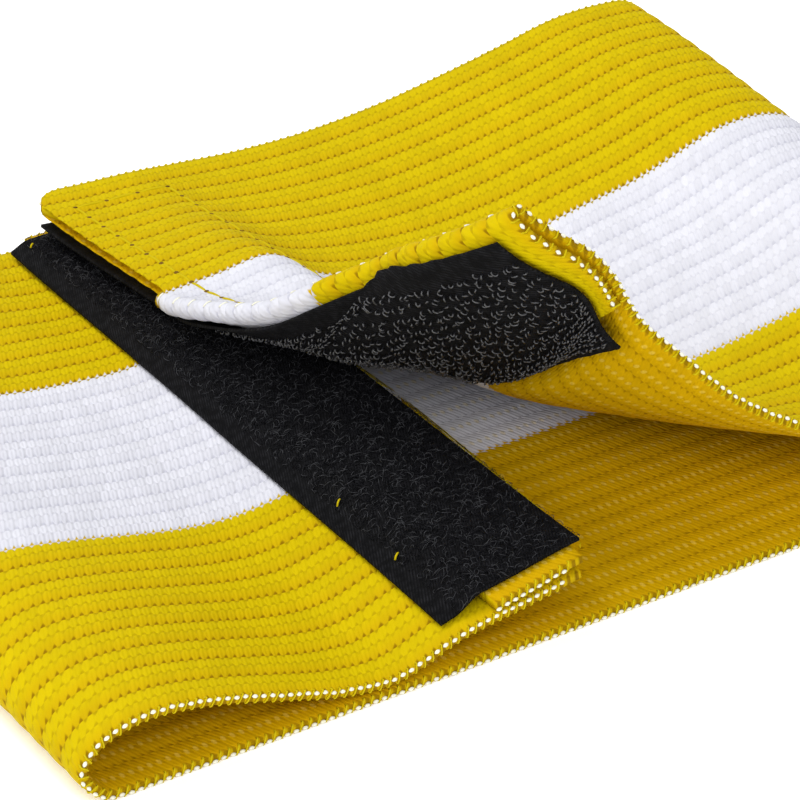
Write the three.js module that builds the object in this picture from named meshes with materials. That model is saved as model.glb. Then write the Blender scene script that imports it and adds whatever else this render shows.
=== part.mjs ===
// Captain armband: one strip of elastic webbing lying as a flattened loop, closed on top by a
// loop tape and a hook tape, with the near corner of the upper end peeled back.
// Millimetres. X runs along the flattened loop, Y across the webbing (near edge at -Y), Z up.
import * as THREE from 'three';

// Webbing
const BAND_WIDTH = 80;
const LOOP_LENGTH = 110.5;
const WEB_THICKNESS = 0.9;
const HEM_DEPTH = 10;

// Height of the loop's soft folds above the layers that lie flat
const FOLD_RISE = 10;

// Tapes
const TAPE_WIDTH = 13;
const TAPE_INSET = 0.4;
const LOOP_TAPE_MARGIN = 1.5;
const HOOK_TAPE_MARGIN = 2.5;
const LOOP_TAPE_THICKNESS = 0.5;
const HOOK_TAPE_THICKNESS = 0.5;

// The loop tape is sewn a little askew: its inner edge lies further in at the near side
const LOOP_TAPE_SKEW = 1;

// Peeled corner: how far its crease lies from the corner, which way the corner turns back,
// the bend at the reference distance, and that distance from the tip of the bend's cone
const PEEL_REACH = 43;
const PEEL_TURN_DEG = 53;
const PEEL_RADIUS = 19.7;
const PEEL_APEX = 40.3;
const LET_GO = 19.5;

// Clearances
const LAYER_GAP = 0.3;
const HEM_GAP = 0.1;
const PIECE_GAP = 0.3;

// Lengths that follow from the sizes above
const LAYER_STEP = WEB_THICKNESS + LAYER_GAP;
const HEM_STEP = WEB_THICKNESS + HEM_GAP;
const LOOP_TAPE_LIFT = WEB_THICKNESS / 2 + PIECE_GAP;
const HOOK_TAPE_LIFT = WEB_THICKNESS / 2 + PIECE_GAP;
const CLOSURE_STEP = LOOP_TAPE_LIFT + HEM_STEP + LOOP_TAPE_THICKNESS
  + PIECE_GAP + HOOK_TAPE_THICKNESS + HEM_STEP + HOOK_TAPE_LIFT;
const TAPE_END = TAPE_INSET + TAPE_WIDTH;
const RAMP_START = HEM_DEPTH + PIECE_GAP;
const RAMP_END = RAMP_START + HEM_STEP * 1.6;

// Stations of the strip, from the lower end's tip round the loop to the upper end's edge.
// along: place along the loop, a share of LOOP_LENGTH from its middle
// under: layers of webbing beneath, closed: share of the closure that the upper end rides on
// near, middle, far: lift of the near edge, the middle line and the far edge, shares of FOLD_RISE
const STATIONS = [
  { along: -0.0623, under: 1, closed: 0, near: 0.39, middle: 0.4, far: 0.012 },
  { along: -0.1211, under: 1, closed: 0, near: 0.285, middle: 0.28, far: 0 },
  { along: -0.1799, under: 1, closed: 0, near: 0.19, middle: 0.1, far: 0 },
  { along: -0.2342, under: 1, closed: 0, near: 0, middle: 0.095, far: 0.115 },
  { along: -0.2794, under: 1, closed: 0, near: 0.045, middle: 0.155, far: 0.175 },
  { along: -0.3247, under: 1, closed: 0, near: 0.195, middle: 0.255, far: 0.265 },
  { along: -0.37, under: 1, closed: 0, near: 0.355, middle: 0.365, far: 0.375 },
  { along: -0.4152, under: 1, closed: 0, near: 0.475, middle: 0.455, far: 0.445 },
  { along: -0.4514, under: 1, closed: 0, near: 0.495, middle: 0.485, far: 0.475 },
  { along: -0.4822, under: 1, closed: 0, near: 0.385, middle: 0.385, far: 0.385 },
  { along: -0.4957, under: 0.5, closed: 0, near: 0.235, middle: 0.235, far: 0.235 },
  { along: -0.484, under: 0, closed: 0, near: 0.08, middle: 0.075, far: 0.075 },
  { along: -0.462, under: 0, closed: 0, near: 0, middle: 0, far: 0 },
  { along: -0.37, under: 0, closed: 0, near: 0, middle: 0, far: 0 },
  { along: -0.1437, under: 0, closed: 0, near: 0, middle: 0, far: 0 },
  { along: 0.0825, under: 0, closed: 0, near: 0, middle: 0, far: 0 },
  { along: 0.3088, under: 0, closed: 0, near: 0, middle: 0, far: 0 },
  { along: 0.4159, under: 0, closed: 0, near: 0, middle: 0, far: 0 },
  { along: 0.4545, under: 0, closed: 0, near: 0, middle: 0, far: 0 },
  { along: 0.4831, under: 0.5, closed: 0, near: 0.155, middle: 0.225, far: 0.37 },
  { along: 0.4958, under: 0.5, closed: 0, near: 0.355, middle: 0.415, far: 0.655 },
  { along: 0.485, under: 1, closed: 0, near: 0.475, middle: 0.54, far: 0.815 },
  { along: 0.4515, under: 1, closed: 0, near: 0.555, middle: 0.66, far: 0.865 },
  { along: 0.4159, under: 1, closed: 0, near: 0.505, middle: 0.65, far: 0.86 },
  { along: 0.3855, under: 1, closed: 0, near: 0.395, middle: 0.56, far: 0.815 },
  { along: 0.3546, under: 1, closed: 0, near: 0.265, middle: 0.435, far: 0.735 },
  { along: 0.3174, under: 1, closed: 0, near: 0.155, middle: 0.31, far: 0.65 },
  { along: 0.2635, under: 1, closed: 0, near: 0.06, middle: 0.215, far: 0.54 },
  { along: 0.2092, under: 1, closed: 0, near: 0.1, middle: 0.11, far: 0.445 },
  { along: 0.1368, under: 1, closed: 0, near: 0.09, middle: 0.07, far: 0.375 },
  { along: 0.0644, under: 1, closed: 0.13, near: 0.09, middle: 0.12, far: 0.315 },
  { along: 0.0011, under: 1, closed: 0.6, near: 0.122, middle: 0.135, far: 0.145 },
  { along: -0.0479, under: 1, closed: 1, near: 0.133, middle: 0.415, far: 0 },
  { along: -0.0997, under: 1, closed: 1, near: 0.136, middle: 0.365, far: 0.025 },
  { along: -0.1483, under: 1, closed: 1, near: 0.25, middle: 0.3, far: 0.07 },
];

// Cuts across the webbing, shares of its width, closer together where the peeled corner bends most
const CUTS = [0.12, 0.2, 0.29, 0.37, 0.44, 0.5, 0.55, 0.6, 0.65, 0.7, 0.76, 0.83, 0.91];
const SPLINE_STEPS = 12;
const PARTS_PER_STATION = 3;
const HEM_TURN_STEPS = 6;
const PROBE = 0.3;

const WEB_COLOR = 0xe0bd08;
const TAPE_COLOR = 0x17171a;

function smooth(t) {
  const c = Math.min(1, Math.max(0, t));
  return c * c * (3 - 2 * c);
}

function spline(a, b, c, d, t) {
  const second = 2 * a - 5 * b + 4 * c - d;
  const third = 3 * b - a - 3 * c + d;
  return 0.5 * (2 * b + (c - a) * t + second * t * t + third * t * t * t);
}

// The stations joined by a spline: x, the free heights, the closure's share and the length so far
function traceStrip() {
  const rows = STATIONS.map((s) => {
    const rest = WEB_THICKNESS / 2 + s.under * LAYER_STEP;
    const x = s.along * LOOP_LENGTH;
    const near = rest + s.near * FOLD_RISE;
    const middle = rest + s.middle * FOLD_RISE;
    const far = rest + s.far * FOLD_RISE;
    return [x, near, middle, far, s.closed];
  });
  const last = rows.length - 1;
  const first = rows[0].map((value, i) => 2 * value - rows[1][i]);
  const after = rows[last].map((value, i) => 2 * value - rows[last - 1][i]);
  const all = [first, ...rows, after];
  const line = [];
  for (let k = 0; k < last; k += 1) {
    for (let j = 0; j < SPLINE_STEPS; j += 1) {
      const t = j / SPLINE_STEPS;
      line.push(rows[0].map((_, i) => spline(all[k][i], all[k + 1][i], all[k + 2][i], all[k + 3][i], t)));
    }
  }
  line.push(rows[last]);
  let length = 0;
  line.forEach((point, i) => {
    if (i > 0) length += Math.hypot(point[0] - line[i - 1][0], point[2] - line[i - 1][2]);
    point.push(length);
  });
  return line;
}

const STRIP = traceStrip();
const STRIP_LENGTH = STRIP[STRIP.length - 1][5];

function stripAt(u) {
  const target = Math.min(STRIP_LENGTH, Math.max(0, u));
  let low = 0;
  let high = STRIP.length - 1;
  while (high - low > 1) {
    const half = (low + high) >> 1;
    if (STRIP[half][5] > target) high = half;
    else low = half;
  }
  const t = (target - STRIP[low][5]) / (STRIP[high][5] - STRIP[low][5]);
  return STRIP[low].map((value, i) => value + (STRIP[high][i] - value) * t);
}

// Middle surface before the corner is peeled; hold is 1 where the closure is shut
function lyingPoint(u, v, hold) {
  const [x, near, middle, far, closed] = stripAt(u);
  const shut = closed * CLOSURE_STEP;
  const toMiddle = smooth(v * 2);
  const toFar = smooth(v * 2 - 1);
  const centre = middle + shut * hold;
  const z = near + (centre - near) * toMiddle + (far + shut - centre) * toFar;
  return new THREE.Vector3(x, (v - 0.5) * BAND_WIDTH, Math.max(z, WEB_THICKNESS / 2));
}

function normalOf(pointAt, u, v) {
  const dv = PROBE / BAND_WIDTH;
  const alongStrip = pointAt(u + PROBE, v).sub(pointAt(u - PROBE, v));
  const across = pointAt(u, v + dv).sub(pointAt(u, v - dv));
  return across.cross(alongStrip).normalize();
}

// Middle surface with the near corner of the upper end rolled back on a cone
function webPoint(u, v) {
  const turn = THREE.MathUtils.degToRad(PEEL_TURN_DEG);
  const fromEnd = STRIP_LENGTH - u;
  const fromNear = v * BAND_WIDTH;
  const past = PEEL_REACH - (Math.cos(turn) * fromEnd + Math.sin(turn) * fromNear);
  if (past <= 0) return lyingPoint(u, v, 1);
  const onCrease = Math.cos(turn) * fromNear - Math.sin(turn) * fromEnd;
  const toApex = PEEL_APEX - onCrease;
  const ray = Math.hypot(toApex, past);
  const roll = Math.atan2(past, toApex) * PEEL_APEX / PEEL_RADIUS;
  const tightness = PEEL_RADIUS / PEEL_APEX;
  const side = tightness * Math.sin(roll);
  const rise = tightness * (1 - Math.cos(roll));
  const forward = Math.sqrt(Math.max(0, 1 - side * side - rise * rise));
  const back = past - ray * side;
  const slip = toApex - ray * forward;
  const end = fromEnd + Math.cos(turn) * back - Math.sin(turn) * slip;
  const edge = fromNear + Math.sin(turn) * back + Math.cos(turn) * slip;
  const hold = 1 - smooth(past / LET_GO);
  const lying = (a, b) => lyingPoint(a, b, hold);
  const upward = normalOf(lying, STRIP_LENGTH - end, edge / BAND_WIDTH);
  return lying(STRIP_LENGTH - end, edge / BAND_WIDTH).addScaledVector(upward, ray * rise);
}

// A point beside the web: past its end by reach, and off its face by lift
function besideWeb(u, v, reach, lift) {
  const point = webPoint(u, v);
  const normal = normalOf(webPoint, u, v);
  point.addScaledVector(normal, lift);
  if (reach !== 0) {
    const forward = webPoint(u + PROBE, v).sub(webPoint(u - PROBE, v)).normalize();
    point.addScaledVector(forward, reach);
  }
  return point;
}

// One closed body between two grids of points that share their rows and columns
function closedSheet(outer, inner, color, roughness, name) {
  const rows = outer.length;
  const columns = outer[0].length;
  const points = [];
  const faces = [];
  outer.forEach((row) => row.forEach((p) => points.push(p.x, p.y, p.z)));
  inner.forEach((row) => row.forEach((p) => points.push(p.x, p.y, p.z)));
  const top = (i, j) => i * columns + j;
  const bottom = (i, j) => rows * columns + i * columns + j;
  const quad = (a, b, c, d) => faces.push(a, b, c, a, c, d);
  for (let i = 0; i < rows - 1; i += 1) {
    for (let j = 0; j < columns - 1; j += 1) {
      quad(top(i, j), top(i, j + 1), top(i + 1, j + 1), top(i + 1, j));
      quad(bottom(i, j), bottom(i + 1, j), bottom(i + 1, j + 1), bottom(i, j + 1));
    }
    quad(top(i, 0), top(i + 1, 0), bottom(i + 1, 0), bottom(i, 0));
    quad(top(i, columns - 1), bottom(i, columns - 1), bottom(i + 1, columns - 1), top(i + 1, columns - 1));
  }
  for (let j = 0; j < columns - 1; j += 1) {
    quad(top(0, j), bottom(0, j), bottom(0, j + 1), top(0, j + 1));
    quad(top(rows - 1, j), top(rows - 1, j + 1), bottom(rows - 1, j + 1), bottom(rows - 1, j));
  }
  const corner = (k) => new THREE.Vector3(points[3 * k], points[3 * k + 1], points[3 * k + 2]);
  let volume = 0;
  for (let k = 0; k < faces.length; k += 3) {
    volume += corner(faces[k]).dot(corner(faces[k + 1]).cross(corner(faces[k + 2])));
  }
  if (volume < 0) faces.reverse();
  const geometry = new THREE.BufferGeometry();
  geometry.setAttribute('position', new THREE.Float32BufferAttribute(points, 3));
  geometry.setIndex(faces);
  geometry.computeVertexNormals();
  const material = new THREE.MeshStandardMaterial({ color, roughness, metalness: 0 });
  const mesh = new THREE.Mesh(geometry, material);
  mesh.name = name;
  return mesh;
}

// Distances from an end of the strip where both hem layers and the tape on them have a cut
const END_CUTS = [0, TAPE_INSET, HEM_DEPTH * 0.3, HEM_DEPTH * 0.5, HEM_DEPTH * 0.72, HEM_DEPTH * 0.88,
  HEM_DEPTH, RAMP_START, (RAMP_START + RAMP_END) / 2, RAMP_END, TAPE_END];
const EDGE_CUTS = [0, LOOP_TAPE_MARGIN / BAND_WIDTH, HOOK_TAPE_MARGIN / BAND_WIDTH];
const CROSS_CUTS = [...EDGE_CUTS, ...CUTS, ...EDGE_CUTS.map((cut) => 1 - cut).reverse()];

function mainCuts() {
  const cuts = [...END_CUTS];
  for (let k = 0; k < STATIONS.length - 1; k += 1) {
    const from = STRIP[k * SPLINE_STEPS][5];
    const to = STRIP[(k + 1) * SPLINE_STEPS][5];
    for (let j = 0; j < PARTS_PER_STATION; j += 1) {
      const u = from + (to - from) * j / PARTS_PER_STATION;
      if (u > TAPE_END + 1 && u < STRIP_LENGTH - TAPE_END - 1) cuts.push(u);
    }
  }
  END_CUTS.forEach((cut) => cuts.push(STRIP_LENGTH - cut));
  return cuts.sort((a, b) => a - b);
}

// Path of the web's middle from one hem's raw edge to the other, with the facing of its first side
function webPath() {
  const path = [];
  const hem = END_CUTS.filter((cut) => cut <= HEM_DEPTH && cut > 0);
  [...hem].reverse().forEach((cut) => path.push({ u: cut, reach: 0, lift: HEM_STEP, ahead: 0, off: 1 }));
  for (let k = 0; k <= HEM_TURN_STEPS; k += 1) {
    const angle = Math.PI * (0.5 + k / HEM_TURN_STEPS);
    const reach = HEM_STEP / 2 * Math.cos(angle);
    const lift = HEM_STEP / 2 * (1 + Math.sin(angle));
    path.push({ u: 0, reach, lift, ahead: Math.cos(angle), off: Math.sin(angle) });
  }
  mainCuts().slice(1, -1).forEach((u) => path.push({ u, reach: 0, lift: 0, ahead: 0, off: -1 }));
  for (let k = 0; k <= HEM_TURN_STEPS; k += 1) {
    const angle = Math.PI * (0.5 - k / HEM_TURN_STEPS);
    const reach = HEM_STEP / 2 * Math.cos(angle);
    const lift = HEM_STEP / 2 * (Math.sin(angle) - 1);
    path.push({ u: STRIP_LENGTH, reach, lift, ahead: -Math.cos(angle), off: -Math.sin(angle) });
  }
  hem.forEach((cut) => path.push({ u: STRIP_LENGTH - cut, reach: 0, lift: -HEM_STEP, ahead: 0, off: 1 }));
  return path;
}

function buildBand() {
  const half = WEB_THICKNESS / 2;
  const side = (sign) => webPath().map((s) => CROSS_CUTS.map((v) => {
    return besideWeb(s.u, v, s.reach + sign * half * s.ahead, s.lift + sign * half * s.off);
  }));
  return closedSheet(side(1), side(-1), WEB_COLOR, 0.85, 'elastic_band');
}

// A tape lies on the hem near the end and steps down to the single web behind the hem's raw edge
function buildTape(fromLowerEnd, thickness, base, margin, skew, name) {
  const sign = fromLowerEnd ? 1 : -1;
  const cuts = END_CUTS.filter((cut) => cut >= TAPE_INSET);
  const across = CROSS_CUTS.filter((v) => v >= margin / BAND_WIDTH && v <= 1 - margin / BAND_WIDTH);
  const face = (extra) => cuts.map((cut) => across.map((v) => {
    const slanted = cut + skew * (1 - 2 * v) * (cut - TAPE_INSET) / TAPE_WIDTH;
    const onHem = 1 - smooth((slanted - RAMP_START) / (RAMP_END - RAMP_START));
    const u = fromLowerEnd ? slanted : STRIP_LENGTH - slanted;
    return besideWeb(u, v, 0, sign * (base + HEM_STEP * onHem + extra));
  }));
  return closedSheet(face(thickness), face(0), TAPE_COLOR, 0.95, name);
}

const group = new THREE.Group();
group.name = 'captain_armband';
group.add(buildBand());
group.add(buildTape(true, LOOP_TAPE_THICKNESS, LOOP_TAPE_LIFT, LOOP_TAPE_MARGIN, LOOP_TAPE_SKEW, 'loop_tape'));
group.add(buildTape(false, HOOK_TAPE_THICKNESS, HOOK_TAPE_LIFT, HOOK_TAPE_MARGIN, 0, 'hook_tape'));

export default group;
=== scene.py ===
import math

import bpy
import numpy as np
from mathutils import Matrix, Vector


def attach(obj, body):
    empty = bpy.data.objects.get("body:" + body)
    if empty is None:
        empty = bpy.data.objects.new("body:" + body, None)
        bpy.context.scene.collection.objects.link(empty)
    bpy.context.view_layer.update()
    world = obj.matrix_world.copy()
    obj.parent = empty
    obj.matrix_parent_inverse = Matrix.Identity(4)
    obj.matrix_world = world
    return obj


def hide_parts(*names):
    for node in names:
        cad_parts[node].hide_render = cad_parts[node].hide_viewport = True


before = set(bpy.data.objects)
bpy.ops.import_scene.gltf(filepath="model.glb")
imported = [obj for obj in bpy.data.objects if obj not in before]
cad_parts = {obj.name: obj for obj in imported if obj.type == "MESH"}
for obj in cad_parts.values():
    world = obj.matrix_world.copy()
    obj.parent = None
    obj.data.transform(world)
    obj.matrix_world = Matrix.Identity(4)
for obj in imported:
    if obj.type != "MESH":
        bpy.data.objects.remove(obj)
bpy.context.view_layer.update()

# Lie of the webbing
# One woven strip lies as a flattened loop. Its lower end is on top, and its upper end comes back over
# it, held by the two tapes. All lengths here are in millimetres, and heights are above the table.
# Each hem is folded tight, and a small clearance keeps the other layers apart.
MM = 0.001
CLEARANCE = 0.3
HEM_CLEARANCE = 0.1
BAND_WIDTH = 80.0
LOOP_LENGTH = 110.5
WEB_THICKNESS = 0.9
HEM_DEPTH = 10.0
FOLD_RISE = 10.0
PEEL_REACH = 43.0
PEEL_TURN = math.radians(53)
PEEL_RADIUS = 19.7
PEEL_APEX = 40.3
LET_GO = 19.5
LAYER_STEP = WEB_THICKNESS + CLEARANCE
HEM_STEP = WEB_THICKNESS + HEM_CLEARANCE
TAPE_LIFT = WEB_THICKNESS / 2 + CLEARANCE
TAPE_THICKNESS = 0.5
CLOSURE_STEP = 2 * (TAPE_LIFT + HEM_STEP + TAPE_THICKNESS) + CLEARANCE
PROBE = 0.3
SPLINE_STEPS = 12

# Along the loop (share of its length from the middle), layers beneath, share of the closure,
# then the lift of the near edge, the middle line and the far edge (shares of FOLD_RISE)
STATIONS = np.array([
    (-0.0623, 1, 0, 0.39, 0.4, 0.012),
    (-0.1211, 1, 0, 0.285, 0.28, 0),
    (-0.1799, 1, 0, 0.19, 0.1, 0),
    (-0.2342, 1, 0, 0, 0.095, 0.115),
    (-0.2794, 1, 0, 0.045, 0.155, 0.175),
    (-0.3247, 1, 0, 0.195, 0.255, 0.265),
    (-0.37, 1, 0, 0.355, 0.365, 0.375),
    (-0.4152, 1, 0, 0.475, 0.455, 0.445),
    (-0.4514, 1, 0, 0.495, 0.485, 0.475),
    (-0.4822, 1, 0, 0.385, 0.385, 0.385),
    (-0.4957, 0.5, 0, 0.235, 0.235, 0.235),
    (-0.484, 0, 0, 0.08, 0.075, 0.075),
    (-0.462, 0, 0, 0, 0, 0),
    (-0.37, 0, 0, 0, 0, 0),
    (-0.1437, 0, 0, 0, 0, 0),
    (0.0825, 0, 0, 0, 0, 0),
    (0.3088, 0, 0, 0, 0, 0),
    (0.4159, 0, 0, 0, 0, 0),
    (0.4545, 0, 0, 0, 0, 0),
    (0.4831, 0.5, 0, 0.155, 0.225, 0.37),
    (0.4958, 0.5, 0, 0.355, 0.415, 0.655),
    (0.485, 1, 0, 0.475, 0.54, 0.815),
    (0.4515, 1, 0, 0.555, 0.66, 0.865),
    (0.4159, 1, 0, 0.505, 0.65, 0.86),
    (0.3855, 1, 0, 0.395, 0.56, 0.815),
    (0.3546, 1, 0, 0.265, 0.435, 0.735),
    (0.3174, 1, 0, 0.155, 0.31, 0.65),
    (0.2635, 1, 0, 0.06, 0.215, 0.54),
    (0.2092, 1, 0, 0.1, 0.11, 0.445),
    (0.1368, 1, 0, 0.09, 0.07, 0.375),
    (0.0644, 1, 0.13, 0.09, 0.12, 0.315),
    (0.0011, 1, 0.6, 0.122, 0.135, 0.145),
    (-0.0479, 1, 1, 0.133, 0.415, 0),
    (-0.0997, 1, 1, 0.136, 0.365, 0.025),
    (-0.1483, 1, 1, 0.25, 0.3, 0.07),
])


def smooth(t):
    """A soft step from 0 to 1 as t goes from 0 to 1."""
    c = np.clip(t, 0, 1)
    return c * c * (3 - 2 * c)


def trace_strip():
    """A smooth curve through the stations: place, three heights, and the share of the closure."""
    rest = WEB_THICKNESS / 2 + STATIONS[:, 1] * LAYER_STEP
    heights = rest[:, None] + STATIONS[:, 3:6] * FOLD_RISE
    rows = np.column_stack([STATIONS[:, 0] * LOOP_LENGTH, heights, STATIONS[:, 2]])
    ends = np.vstack([2 * rows[0] - rows[1], rows, 2 * rows[-1] - rows[-2]])
    t = (np.arange(SPLINE_STEPS) / SPLINE_STEPS)[:, None]
    line = []
    for a, b, c, d in zip(ends, ends[1:], ends[2:], ends[3:]):
        second = 2 * a - 5 * b + 4 * c - d
        third = 3 * b - a - 3 * c + d
        line.append(0.5 * (2 * b + (c - a) * t + second * t**2 + third * t**3))
    return np.vstack(line + [rows[-1:]])


STRIP = trace_strip()
STEPS = np.hypot(np.diff(STRIP[:, 0]), np.diff(STRIP[:, 2]))
LENGTHS = np.concatenate([[0], np.cumsum(STEPS)])
STRIP_LENGTH = float(LENGTHS[-1])


def lying_point(u, v, hold):
    """Middle of the webbing before the corner is rolled back. hold is how far the closure holds."""
    x, near, middle, far, closed = [np.interp(u, LENGTHS, STRIP[:, k]) for k in range(5)]
    shut = closed * CLOSURE_STEP
    centre = middle + shut * hold
    z = near + (centre - near) * smooth(v * 2) + (far + shut - centre) * smooth(v * 2 - 1)
    return np.stack([x, (v - 0.5) * BAND_WIDTH, np.maximum(z, WEB_THICKNESS / 2)], -1)


def normal_of(point_at, u, v):
    """Direction off the outer face of the surface that point_at gives."""
    dv = PROBE / BAND_WIDTH
    along = point_at(u + PROBE, v) - point_at(u - PROBE, v)
    across = point_at(u, v + dv) - point_at(u, v - dv)
    normal = np.cross(across, along)
    return normal / np.linalg.norm(normal, axis=-1, keepdims=True)


def web_point(u, v):
    """Middle of the webbing at length u and share v of the width, with the near corner rolled back."""
    u, v = np.broadcast_arrays(np.asarray(u, float), np.asarray(v, float))
    c, s = math.cos(PEEL_TURN), math.sin(PEEL_TURN)
    from_end = STRIP_LENGTH - u
    from_near = v * BAND_WIDTH
    past = PEEL_REACH - (c * from_end + s * from_near)
    to_apex = PEEL_APEX - (c * from_near - s * from_end)
    ray = np.hypot(to_apex, past)
    tight = PEEL_RADIUS / PEEL_APEX
    roll = np.arctan2(past, to_apex) / tight
    side = tight * np.sin(roll)
    rise = tight * (1 - np.cos(roll))
    forward = np.sqrt(np.maximum(0, 1 - side**2 - rise**2))
    back = past - ray * side
    slip = to_apex - ray * forward
    peeled = past > 0
    end = np.where(peeled, from_end + c * back - s * slip, from_end)
    edge = np.where(peeled, from_near + s * back + c * slip, from_near)
    hold = np.where(peeled, 1 - smooth(past / LET_GO), 1.0)
    height = np.where(peeled, ray * rise, 0.0)

    def lying(a, b):
        return lying_point(a, b, hold)

    a, b = STRIP_LENGTH - end, edge / BAND_WIDTH
    return lying(a, b) + normal_of(lying, a, b) * height[..., None]


def beside_web(u, v, reach=0.0, lift=0.0):
    """A point past the end of the webbing by reach, and off its outer face's side by lift."""
    given = [np.asarray(d, float) for d in (u, v, reach, lift)]
    u, v, reach, lift = np.broadcast_arrays(*given)
    forward = web_point(u + PROBE, v) - web_point(u - PROBE, v)
    forward /= np.linalg.norm(forward, axis=-1, keepdims=True)
    off_face = normal_of(web_point, u, v) * lift[..., None]
    return web_point(u, v) + off_face + forward * reach[..., None]


# Elastic webbing
# Ribbed elastic web, woven in one piece with a yellow, a white and a yellow lane of nine ribs each.
# Each pick of the weft shows as a slanted leaf across a rib. Both ends are folded back and sewn, and
# the hems gape a little at their open near edge. The far corner of the upper end is worn round.
RIBS = 27
LANE_RIBS = 9
PICK = 0.827
RIB_PARTS = 6
RIB_RELIEF = 0.12
RIB_CUSHION = 0.7
ROW_STEP = 1.7
ROW_TURN = 0.16
ROW_CLOSEST = 0.3
HEM_ROWS = 9
TURN_ROWS = 8
CORNER_ROWS = 8
CORNER_RADIUS = 4.2
HEM_GAPE = 0.5
GAPE_ACROSS = 5.0
GAPE_ALONG = 13.0
GAPE_ARCH = 0.4
YELLOW = (0.54, 0.405, 0.001)
# The slit and shade colours of both lanes are painted shade: in the slits between leaves, and on the
# near side of each rib.
YELLOW_SLIT_SHADE = (0.17, 0.08, 0.001)
YELLOW_SHADE = (0.47, 0.275, 0.001)
# The inner face's more orange yellow is painted shade: the same yarn looks warmer and darker inside the
# loop.
INNER_SHADE_YELLOW = (0.56, 0.335, 0.001)
WHITE = (0.64, 0.64, 0.69)
WHITE_SLIT_SHADE = (0.46, 0.46, 0.53)
WHITE_SHADE = (0.54, 0.54, 0.60)


def new_mesh(name, points, faces, materials, picked=None, uv=None):
    """A mesh object from points in millimetres and faces of one size, with its flat map if any."""
    faces = np.asarray(faces, np.int32)
    count, corners = faces.shape
    mesh = bpy.data.meshes.new(name)
    mesh.vertices.add(len(points))
    mesh.vertices.foreach_set("co", (np.asarray(points) * MM).astype(np.float32).ravel())
    mesh.loops.add(count * corners)
    mesh.loops.foreach_set("vertex_index", faces.ravel())
    mesh.polygons.add(count)
    mesh.polygons.foreach_set("loop_start", np.arange(count, dtype=np.int32) * corners)
    mesh.polygons.foreach_set("use_smooth", np.ones(count, bool))
    for material in materials:
        mesh.materials.append(material)
    if picked is not None:
        mesh.polygons.foreach_set("material_index", np.asarray(picked, np.int32))
    if uv is not None:
        layer = mesh.uv_layers.new(name="weave")
        layer.data.foreach_set("uv", np.asarray(uv, np.float32)[faces.ravel()].ravel())
    mesh.update(calc_edges=True)
    mesh.validate()
    piece = bpy.data.objects.new(name, mesh)
    bpy.context.scene.collection.objects.link(piece)
    return piece


def sheet_faces(rows, columns):
    """Quads of a closed sheet between two grids of points, and the side that each is on."""
    index = np.arange(rows * columns).reshape(rows, columns)
    under = index + rows * columns

    def quads(a, b, c, d):
        return np.stack([a, b, c, d], -1).reshape(-1, 4)

    parts = [
        quads(index[:-1, :-1], index[:-1, 1:], index[1:, 1:], index[1:, :-1]),
        quads(under[:-1, :-1], under[1:, :-1], under[1:, 1:], under[:-1, 1:]),
        quads(index[:-1, 0], index[1:, 0], under[1:, 0], under[:-1, 0]),
        quads(index[:-1, -1], under[:-1, -1], under[1:, -1], index[1:, -1]),
        quads(index[0, :-1], under[0, :-1], under[0, 1:], index[0, 1:]),
        quads(index[-1, :-1], index[-1, 1:], under[-1, 1:], under[-1, :-1]),
    ]
    sides = np.repeat([0, 1, 2, 2, 2, 2], [len(p) for p in parts])
    return np.vstack(parts), sides


def closed_sheet(name, first, second, uv, materials):
    """A closed sheet between two grids of points, its faces turned outwards."""
    rows, columns = first.shape[:2]
    points = np.vstack([first.reshape(-1, 3), second.reshape(-1, 3)])
    faces, sides = sheet_faces(rows, columns)
    a, b, c, d = [points[faces[:, k]] for k in range(4)]
    volume = np.einsum("ij,ij->i", a, np.cross(b, c) + np.cross(c, d)).sum()
    if volume < 0:
        faces = faces[:, ::-1]
    return new_mesh(name, points, faces, materials, sides, np.vstack([uv, uv]))


def main_rows():
    """Lengths along the strip where the mesh has a row, closer together where the strip turns."""
    steps = np.diff(STRIP[:, [0, 2]], axis=0)
    turn = np.abs(np.diff(np.unwrap(np.arctan2(steps[:, 1], steps[:, 0]))))
    need = STEPS / ROW_STEP
    need[1:] += turn / ROW_TURN / 2
    need[:-1] += turn / ROW_TURN / 2
    total = np.concatenate([[0], np.cumsum(need)])
    rows = np.interp(np.linspace(0, total[-1], int(total[-1]) + 1), total, LENGTHS)
    corner_rows = STRIP_LENGTH - CORNER_RADIUS * (1 - np.sin(np.linspace(0, math.pi / 2, CORNER_ROWS)))
    rows = rows[rows < corner_rows[0] - ROW_CLOSEST]
    return np.concatenate([rows, corner_rows])


def web_path():
    """Rows from one raw edge to the other: length u, reach, lift, where the first face looks, and
    the length of webbing from the lower fold."""
    half = HEM_STEP / 2
    hem = np.linspace(HEM_DEPTH, 0, HEM_ROWS)[:-1]
    angle = math.pi * (0.5 + np.linspace(0, 1, TURN_ROWS))
    path = [(u, 0, HEM_STEP, 0, 1, -u - math.pi * half) for u in hem]
    path += [
        (
            0,
            half * math.cos(t),
            half * (1 + math.sin(t)),
            math.cos(t),
            math.sin(t),
            (t - 1.5 * math.pi) * half,
        )
        for t in angle
    ]
    path += [(u, 0, 0, 0, -1, u) for u in main_rows()[1:-1]]
    path += [
        (
            STRIP_LENGTH,
            half * math.cos(t),
            half * (math.sin(t) - 1),
            -math.cos(t),
            -math.sin(t),
            STRIP_LENGTH + (math.pi / 2 - t) * half,
        )
        for t in math.pi - angle
    ]
    path += [
        (STRIP_LENGTH - u, 0, -HEM_STEP, 0, 1, STRIP_LENGTH + math.pi * half + u)
        for u in hem[::-1]
    ]
    return np.array(path)


def corner_cut(u):
    """How much the worn far corner of the upper end is rounded off at length u, in millimetres."""
    from_corner = np.clip(CORNER_RADIUS - (STRIP_LENGTH - u), 0, CORNER_RADIUS)
    return CORNER_RADIUS - np.sqrt(CORNER_RADIUS**2 - from_corner**2)


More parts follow.
